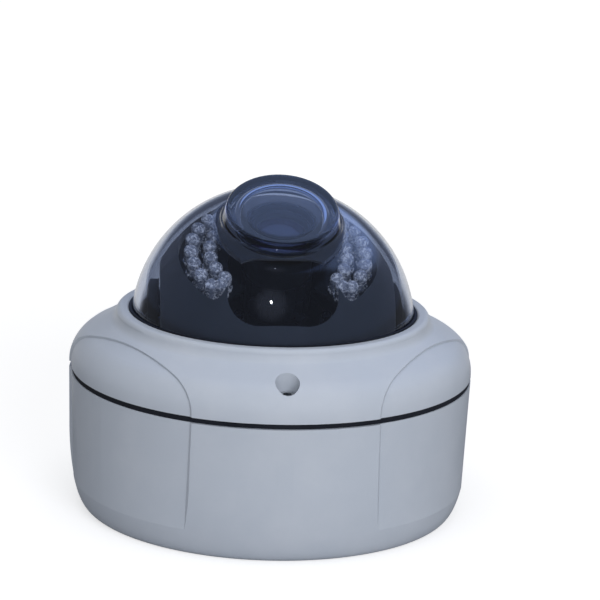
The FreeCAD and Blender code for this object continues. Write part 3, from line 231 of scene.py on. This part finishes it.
# Dark resin over the light cell: smooth, nearly black and a little glossy.
CELL = grained("light_cell_resin", "#15171a", "#1c1e22", 0.8, 0.02, (0.25, 0.4), IOR=1.54)
# Black oxide on steel: dark, with a faint oily gloss.
BLACK_STEEL = grained("black_oxide_steel", "#1b1c1f", "#26272b", 0.6, 0.01, (0.32, 0.48), Metallic=1.0)
# Aluminium anodised black: very fine and even, with a soft gloss along the barrel.
BARREL = grained("anodised_black_aluminium", "#121417", "#1c1f23", 0.4, 0.004, (0.3, 0.46), IOR=1.5)

NODE_FINISHES = (
    (WHITE, ("base_housing", "cover")),
    (RUBBER, ("housing_gasket", "dome_seal", "cable_grommet")),
    (BALL, ("eyeball_front", "eyeball_rear")),
    (NYLON, ("dome_clamp_ring", "pan_base", "pan_turntable", "yoke_arm_right", "yoke_arm_left",
             "module_frame", "lens_mount", "focus_ring", "zoom_ring")),
    (STEEL, ("cover_screws", "clamp_ring_screws", "board_screws", "pan_base_screws", "pan_clip",
             "yoke_screws", "tilt_pivots")),
    (BLACK_STEEL, ("led_board_screws",)),
    (BOARD, ("main_board", "led_board", "sensor_board")),
    (CHIPS, ("board_components",)),
    (CELL, ("light_sensor",)),
    (BARREL, ("lens_barrel", "lens_shroud")),
    (LENS, ("lens_glass",)),
    (DOME, ("dome_cover",)),
    (EPOXY, ("ir_leds",)),
)
for finish, names in NODE_FINISHES:
    for name in names:
        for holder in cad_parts[name].material_slots:
            holder.material = finish


# ---- building tools ----
def arc(centre, radius, start, end, count):
    """Points of an arc in radius and height, without its first point; angles in degrees."""
    turns = [math.radians(start + (end - start) * step / count) for step in range(1, count + 1)]
    return [(centre[0] + radius * math.cos(turn), centre[1] + radius * math.sin(turn)) for turn in turns]


def lathe(name, outline, steps):
    """A turned piece about Z. Its outline, in mm of radius and height, is drawn point by point and spun."""
    bpy.ops.object.select_all(action="DESELECT")
    bpy.ops.mesh.primitive_plane_add(size=MM, location=(0, 0, 0))
    piece = bpy.context.object
    piece.name = name
    bpy.ops.object.mode_set(mode="EDIT")
    bpy.ops.mesh.select_mode(type="VERT")
    bpy.ops.mesh.merge(type="CENTER")
    here = (0.0, 0.0)
    for count, point in enumerate(outline):
        step = ((point[0] - here[0]) * MM, 0, (point[1] - here[1]) * MM)
        if count:
            bpy.ops.mesh.extrude_region_move(TRANSFORM_OT_translate={"value": step})
        else:
            bpy.ops.transform.translate(value=step)
        here = point
    bpy.ops.mesh.select_all(action="SELECT")
    bpy.ops.mesh.spin(steps=steps, angle=2 * math.pi, center=(0, 0, 0), axis=(0, 0, 1))
    bpy.ops.mesh.select_all(action="SELECT")
    bpy.ops.mesh.remove_doubles(threshold=0.001 * MM)
    bpy.ops.mesh.normals_make_consistent(inside=False)
    bpy.ops.object.mode_set(mode="OBJECT")
    return piece


def settle(piece, matrix):
    """Moves a piece's mesh to its place, so that its object stays at the origin."""
    bpy.ops.object.select_all(action="DESELECT")
    piece.select_set(True)
    bpy.context.view_layer.objects.active = piece
    piece.matrix_world = matrix
    bpy.ops.object.transform_apply(location=True, rotation=True, scale=True)


def joined(name, pieces):
    """One piece made of several, under the first one's data."""
    bpy.ops.object.select_all(action="DESELECT")
    for piece in pieces:
        piece.select_set(True)
    bpy.context.view_layer.objects.active = pieces[0]
    bpy.ops.object.join()
    pieces[0].name = name
    return pieces[0]


def copied(piece, matrix):
    """A copy with a mesh of its own, moved to its place."""
    copy = piece.copy()
    copy.data = piece.data.copy()
    bpy.context.scene.collection.objects.link(copy)
    settle(copy, matrix)
    return copy


def smooth(piece, degrees):
    """Rounds the shading over edges flatter than this angle."""
    bpy.ops.object.select_all(action="DESELECT")
    piece.select_set(True)
    bpy.context.view_layer.objects.active = piece
    bpy.ops.object.shade_smooth_by_angle(angle=math.radians(degrees))


def dressed(piece, material, body):
    """Gives a piece its finish and the body that it rides on."""
    piece.data.materials.clear()
    piece.data.materials.append(material)
    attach(piece, body)
    return piece


# ---- places that the moving parts share ----
PIVOT = 66.3                   # height of the tilt axis
LENS_TILT = 25.0               # degrees from vertical at rest
PIVOT_PLACE = Matrix.Translation((0, 0, PIVOT * MM))
LENS_FRAME = PIVOT_PLACE @ Matrix.Rotation(math.radians(LENS_TILT), 4, "X")

# ---- dome ----
DOME_RADIUS = 51.2
DOME_WALL = 2.8
FLANGE_RADIUS = 56.7
FLANGE_TOP = 66.6
FLANGE_FOOT = 64.1
WINDOW_TILT = 26.5             # degrees from vertical at rest
WINDOW_RADIUS = 19.9
WINDOW_HEIGHT = 54.9
WINDOW_CROWN = 0.5
WINDOW_FLARE = 6.0
WINDOW_RIM = 1.8
WINDOW_LEAN = 8.0              # degrees that the window's side leans in
SIDE_FOOT = 0.93               # share of the sphere's radius down to which the window's side leans
FLARE_GROWTH = 0.4             # how much of the inset the hollow flare's radius grows by
LOWEST = -34                   # angle down to which the sphere is drawn, before it is cut
CROWN_STEPS, RIM_STEPS, FLARE_STEPS, SPHERE_STEPS = 14, 8, 14, 84
SPIN_STEPS = 160
ROUND = 40                     # edges that turn by less than this many degrees are shaded round


def dome_outline(inset):
    """Half outline of the dome about the window's axis, moved in by inset: window, rim, flare and sphere."""
    radius = WINDOW_RADIUS - inset
    rim = WINDOW_HEIGHT - inset
    corner = WINDOW_RIM + inset
    sphere = DOME_RADIUS - inset
    flare = WINDOW_FLARE + inset * FLARE_GROWTH
    lean = math.radians(WINDOW_LEAN)
    centre_radius = radius + (rim - sphere * SIDE_FOOT) * math.tan(lean) + flare
    centre_height = math.sqrt((sphere + flare) ** 2 - centre_radius ** 2)
    meet = math.degrees(math.atan2(centre_height, centre_radius))
    flat = radius - corner
    ball = (flat ** 2 + WINDOW_CROWN ** 2) / (2 * WINDOW_CROWN)
    reach = math.degrees(math.asin(flat / ball))
    points = [(0, rim + WINDOW_CROWN)]
    points += arc((0, rim + WINDOW_CROWN - ball), ball, 90, 90 - reach, CROWN_STEPS)
    points += arc((flat, rim - corner), corner, 90 - reach * 0.5, 0, RIM_STEPS)
    points += arc((centre_radius, centre_height), flare, 180 - WINDOW_LEAN, 180 + meet, FLARE_STEPS)
    points += arc((0, 0), sphere, meet, LOWEST, SPHERE_STEPS)
    return points


def dome_skin(name, inset, cut_height):
    """One face of the dome's wall, cut level above its skirt."""
    skin = lathe(name, dome_outline(inset), SPIN_STEPS)
    settle(skin, PIVOT_PLACE @ Matrix.Rotation(math.radians(WINDOW_TILT), 4, "X"))
    bpy.ops.object.mode_set(mode="EDIT")
    bpy.ops.mesh.select_all(action="SELECT")
    bpy.ops.mesh.bisect(plane_co=(0, 0, cut_height * MM), plane_no=(0, 0, 1), clear_inner=True)
    return skin


def clear_dome():
    """Outer and inner skins, with the flange grown from the outer one, joined under the flange."""
    outer = dome_skin("dome_shell", 0.0, FLANGE_TOP)
    bpy.ops.mesh.extrude_region_move()
    grow = FLANGE_RADIUS / math.sqrt(DOME_RADIUS ** 2 - (FLANGE_TOP - PIVOT) ** 2)
    bpy.ops.transform.resize(value=(grow, grow, 1), center_override=(0, 0, FLANGE_TOP * MM))
    drop = (0, 0, (FLANGE_FOOT - FLANGE_TOP) * MM)
    bpy.ops.mesh.extrude_region_move(TRANSFORM_OT_translate={"value": drop})
    bpy.ops.object.mode_set(mode="OBJECT")
    inner = dome_skin("dome_inner", DOME_WALL, PIVOT)
    drop = (0, 0, (FLANGE_FOOT - PIVOT) * MM)
    bpy.ops.mesh.extrude_region_move(TRANSFORM_OT_translate={"value": drop})
    bpy.ops.object.mode_set(mode="OBJECT")
    dome = joined("dome_shell", [outer, inner])
    bpy.ops.object.mode_set(mode="EDIT")
    bpy.ops.mesh.select_mode(type="EDGE")
    bpy.ops.mesh.select_all(action="DESELECT")
    bpy.ops.mesh.select_non_manifold(
        extend=False, use_wire=False, use_boundary=True, use_multi_face=False,
        use_non_contiguous=False, use_verts=False)
    bpy.ops.mesh.fill(use_beauty=True)
    bpy.ops.mesh.select_all(action="SELECT")
    bpy.ops.mesh.normals_make_consistent(inside=False)
    bpy.ops.object.mode_set(mode="OBJECT")
    smooth(dome, ROUND)
    return dressed(dome, DOME, "dome")


dome = clear_dome()
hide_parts("dome_cover")

# ---- infrared emitters ----
BOARD_TOP = 28.2               # from the pivot along the lens axis
LED_RADIUS = 2.5
LED_TIP = 35.3
BEAD_FLANGE_RADIUS = 2.85
BEAD_FLANGE_TOP = BOARD_TOP + 1
CUP_FOOT = BOARD_TOP + 0.2
CUP_OUTLINE = (                # radius and height: the post, then the cup and its hollow
    (0, CUP_FOOT), (0.9, CUP_FOOT), (0.9, 31.0), (1.75, 31.9), (1.75, 33.0),
    (1.55, 33.1), (0.7, 32.0), (0, 32.0))
LED_ROWS = ((23.9, 6, 14.4), (30.2, 7, 12.4))  # circle radius, count and pitch in degrees
LED_ENDS = (27.6, 41.0)        # circle radius and angle of the last one at each end
BEAD_STEPS, BEAD_END_STEPS, CUP_STEPS = 28, 9, 16
CUP_ROUND = 30                 # as ROUND, so that the cup keeps its rim


def led_places():
    """Angle and circle radius of each emitter of one group."""
    places = []
    for radius, count, pitch in LED_ROWS:
        places += [(radius, (index - (count - 1) / 2) * pitch) for index in range(count)]
    return places + [(LED_ENDS[0], LED_ENDS[1]), (LED_ENDS[0], -LED_ENDS[1])]


def emitters():
    """The beads of both groups as one piece and their cups as another, each modelled once and copied."""
    straight = LED_TIP - LED_RADIUS
    body = [(0, BOARD_TOP), (BEAD_FLANGE_RADIUS, BOARD_TOP), (BEAD_FLANGE_RADIUS, BEAD_FLANGE_TOP),
            (LED_RADIUS, BEAD_FLANGE_TOP), (LED_RADIUS, straight)]
    bead = lathe("ir_beads", body + arc((0, straight), LED_RADIUS, 0, 90, BEAD_END_STEPS), BEAD_STEPS)
    smooth(bead, ROUND)
    cup = lathe("ir_cups", CUP_OUTLINE, CUP_STEPS)
    smooth(cup, CUP_ROUND)
    beads, cups = [], []
    for side in (0, 180):
        for radius, angle in led_places():
            turn = math.radians(angle + side)
            spot = Matrix.Translation((radius * MM * math.cos(turn), radius * MM * math.sin(turn), 0))
            beads.append(copied(bead, LENS_FRAME @ spot))
            cups.append(copied(cup, LENS_FRAME @ spot))
    for first in (bead, cup):
        bpy.data.objects.remove(first)
    all_beads = dressed(joined("ir_beads", beads), EPOXY, "eyeball")
    all_cups = dressed(joined("ir_cups", cups), CUP, "eyeball")
    return all_beads, all_cups


beads, cups = emitters()
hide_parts("ir_leds")

# ---- floor, light and camera, with places in metres and directions as unit vectors ----
MIDDLE = Vector((0, 0, 0.0502))                # the middle of the gasket
FLOOR_SIZE = 60
NEAR, FAR = 0.2, 0.6                           # from the object's middle, where the floor's lift grows
NEAR_LIFT, FAR_LIFT = 0.62, 0.75               # white that the floor adds for the eye
MIRRORED_FLOOR = 0.15                          # how bright the floor is in a mirror, before its lift
ROOM, SKYLIGHT, HALO, AIR = 0.22, 1.25, 0.28, 0.45  # strengths of the world's parts
SKYLIGHT_WAY = (0.24, 0.42, 0.875)
HALO_WAY = (-0.101, -0.843, 0.529)
CAMERA_AZIMUTH, CAMERA_ELEVATION, CAMERA_ROLL = -5.0, 15.8, 2.05  # degrees
CAMERA_DISTANCE = 1.1
CAMERA_LENS = 182.3                            # focal length in millimetres
AIM_RIGHT, AIM_UP = 0.0096, 0.0252             # where the camera aims, from the middle


def seen_white(tree, behind):
    """Where the backdrop is white: to the camera, straight through glass, and to mirrors only right behind.

    behind is a socket that is 1 in the part of the backdrop right behind the object. The second result is 1
    for what glass and mirrors see. Light on its way to a dull surface counts as neither, so that the plain
    light reaches the parts under the dome as well.
    """
    path = add(tree, "ShaderNodeLightPath")
    bent = path.outputs["Is Transmission Ray"]
    shiny = add(tree, "ShaderNodeMath", {0: path.outputs["Is Glossy Ray"], 1: bent}, operation="MAXIMUM")
    seen = add(tree, "ShaderNodeMath", {0: path.outputs["Diffuse Depth"], 1: 0.5}, operation="LESS_THAN")
    sharp = add(tree, "ShaderNodeMath", {0: shiny.outputs[0], 1: seen.outputs[0]}, operation="MULTIPLY")
    straight = add(tree, "ShaderNodeMath", {0: path.outputs["Glossy Depth"], 1: 0.5}, operation="LESS_THAN")
    through = add(tree, "ShaderNodeMath", {0: bent, 1: straight.outputs[0]}, operation="MULTIPLY")
    clear = add(tree, "ShaderNodeMath", {0: through.outputs[0], 1: seen.outputs[0]}, operation="MULTIPLY")
    mirror = add(tree, "ShaderNodeMath", {0: sharp.outputs[0], 1: behind}, operation="MULTIPLY")
    glass = add(tree, "ShaderNodeMath", {0: clear.outputs[0], 1: mirror.outputs[0]}, operation="MAXIMUM")
    eye = path.outputs["Is Camera Ray"]
    white = add(tree, "ShaderNodeMath", {0: eye, 1: glass.outputs[0]}, operation="MAXIMUM")
    return white.outputs[0], sharp.outputs[0]


def studio_floor():
    """Grey card, lifted to white for the eye and for glass, less so near the foot, for the shadow."""
    bpy.ops.object.select_all(action="DESELECT")
    bpy.ops.mesh.primitive_plane_add(size=FLOOR_SIZE, location=(0, 0, 0))
    floor = bpy.context.object
    floor.name = "studio_floor"
    material = new_material("pale_studio_floor")
    tree = material.node_tree
    card = add(tree, "ShaderNodeBsdfDiffuse", {"Color": linear("#c6c7c9")})
    place = add(tree, "ShaderNodeTexCoord").outputs["Object"]
    far = add(tree, "ShaderNodeVectorMath", {0: place}, operation="NORMALIZE")
    depth = add(tree, "ShaderNodeSeparateXYZ", {"Vector": far.outputs[0]}).outputs["Y"]
    behind = add(tree, "ShaderNodeMapRange", {
        0: depth, 1: 0.7, 2: 0.84}, interpolation_type="SMOOTHSTEP")
    white, sharp = seen_white(tree, behind.outputs[0])
    away = add(tree, "ShaderNodeVectorMath", {0: place}, operation="LENGTH")
    lift = add(tree, "ShaderNodeMapRange", {
        0: away.outputs["Value"], 1: NEAR, 2: FAR, 3: NEAR_LIFT, 4: FAR_LIFT})
    level = add(tree, "ShaderNodeMath", {0: white, 1: lift.outputs[0]}, operation="MULTIPLY")
    glow = add(tree, "ShaderNodeEmission", {"Color": linear("#ffffff"), "Strength": level.outputs[0]})
    dull = add(tree, "ShaderNodeEmission", {"Color": linear("#cdd0d8"), "Strength": MIRRORED_FLOOR})
    lit = add(tree, "ShaderNodeMixShader", {0: sharp, 1: card.outputs[0], 2: dull.outputs[0]})
    both = add(tree, "ShaderNodeAddShader", {0: lit.outputs[0], 1: glow.outputs[0]})
    add(tree, "ShaderNodeOutputMaterial", {"Surface": both.outputs[0]})
    floor.data.materials.append(material)


def studio_world():
    """White behind the object. Mirrors see a dim room, a blue skylight and a faint glow in front."""
    world = bpy.data.worlds.new("studio")
    bpy.context.scene.world = world
    world.use_nodes = True
    tree = world.node_tree
    tree.nodes.clear()
    direction = add(tree, "ShaderNodeTexCoord").outputs["Generated"]
    along = add(tree, "ShaderNodeSeparateXYZ", {"Vector": direction})
    behind = add(tree, "ShaderNodeMapRange", {
        0: along.outputs["Y"], 1: 0.86, 2: 0.96}, interpolation_type="SMOOTHSTEP")
    white, sharp = seen_white(tree, behind.outputs[0])
    overhead = add(tree, "ShaderNodeVectorMath", {0: direction, 1: SKYLIGHT_WAY}, operation="DOT_PRODUCT")
    skylight = add(tree, "ShaderNodeMapRange", {
        0: overhead.outputs["Value"], 1: 0.66, 2: 0.76, 3: ROOM, 4: SKYLIGHT},
        interpolation_type="SMOOTHSTEP")
    frontal = add(tree, "ShaderNodeVectorMath", {0: direction, 1: HALO_WAY}, operation="DOT_PRODUCT")
    halo = add(tree, "ShaderNodeMapRange", {
        0: frontal.outputs["Value"], 1: 0.96, 2: 1.0, 3: 0.0, 4: HALO},
        interpolation_type="SMOOTHERSTEP")
    glare = add(tree, "ShaderNodeMath", {0: skylight.outputs[0], 1: halo.outputs[0]}, operation="ADD")
    hue = add(tree, "ShaderNodeMix", {
        0: skylight.outputs[0], 6: linear("#c2c9dc"), 7: linear("#a6bef2")}, data_type="RGBA")
    sky = add(tree, "ShaderNodeBackground", {"Color": hue.outputs[2], "Strength": glare.outputs[0]})
    air = add(tree, "ShaderNodeBackground", {"Color": linear("#ffffff"), "Strength": AIR})
    paper = add(tree, "ShaderNodeBackground", {"Color": linear("#ffffff"), "Strength": 1.0})
    low = add(tree, "ShaderNodeMapRange", {0: along.outputs["Z"], 1: 0.0, 2: 0.12, 3: 1.0, 4: 0.0})
    camera = add(tree, "ShaderNodeLightPath").outputs["Is Camera Ray"]
    wide = add(tree, "ShaderNodeMath", {0: camera, 1: low.outputs[0]}, operation="MAXIMUM")
    share = add(tree, "ShaderNodeMath", {0: white, 1: wide.outputs[0]}, operation="MULTIPLY")
    room = add(tree, "ShaderNodeMixShader", {0: sharp, 1: air.outputs[0], 2: sky.outputs[0]})
    both = add(tree, "ShaderNodeMixShader", {
        0: share.outputs[0], 1: room.outputs[0], 2: paper.outputs[0]})
    add(tree, "ShaderNodeOutputWorld", {"Surface": both.outputs[0]})


def lamp(name, spot, aim, size, power, colour, mirrored):
    """A round soft lamp of this size and power in watts; mirrored says whether mirrors and glass show it."""
    data = bpy.data.lights.new(name, "AREA")
    data.shape = "DISK"
    data.size = size
    data.energy = power
    data.color = linear(colour)[:3]
    light = bpy.data.objects.new(name, data)
    bpy.context.scene.collection.objects.link(light)
    light.location = spot
    light.rotation_mode = "QUATERNION"
    light.rotation_quaternion = (Vector(aim) - Vector(spot)).to_track_quat("-Z", "Y")
    light.visible_glossy = mirrored
    light.visible_transmission = mirrored
    return light


def studio_camera():
    """A long lens a little to the left of the front and above, rolled slightly."""
    azimuth, elevation = math.radians(CAMERA_AZIMUTH), math.radians(CAMERA_ELEVATION)
    level = math.cos(elevation)
    back = Vector((math.sin(azimuth) * level, -math.cos(azimuth) * level, math.sin(elevation)))
    right = Vector((-back.y, back.x, 0)).normalized()
    up = back.cross(right)
    aim = MIDDLE + right * AIM_RIGHT + up * AIM_UP
    data = bpy.data.cameras.new("studio_camera")
    data.lens = CAMERA_LENS
    camera = bpy.data.objects.new("studio_camera", data)
    bpy.context.scene.collection.objects.link(camera)
    camera.location = MIDDLE + back * CAMERA_DISTANCE
    camera.rotation_mode = "QUATERNION"
    gaze = (aim - camera.location).to_track_quat("-Z", "Y")
    camera.rotation_quaternion = gaze @ Quaternion((0, 0, 1), math.radians(CAMERA_ROLL))
    bpy.context.scene.camera = camera


studio_floor()
studio_world()
lamp("key_softbox", (0.3, -1.1, 0.45), (0, 0, 0.06), 0.6, 6.0, "#fbfcff", False)
lamp("top_softbox", (-0.05, -0.1, 1.0), (0, 0, 0.06), 0.7, 2.0, "#f4f7ff", False)
lamp("spark", (-0.09, -0.75, 0.56), (0, 0, 0.09), 0.036, 0.15, "#ffffff", True)
sparkle = lamp("sparkle", (0.0, -0.7, 0.8), (0, 0, 0.1), 0.12, 3.5, "#ffffff", True)
receivers = bpy.data.collections.new("sparkle_receivers")
for piece in (beads, cups):
    receivers.objects.link(piece)
sparkle.light_linking.receiver_collection = receivers
studio_camera()
bpy.context.scene.view_settings.view_transform = "Standard"
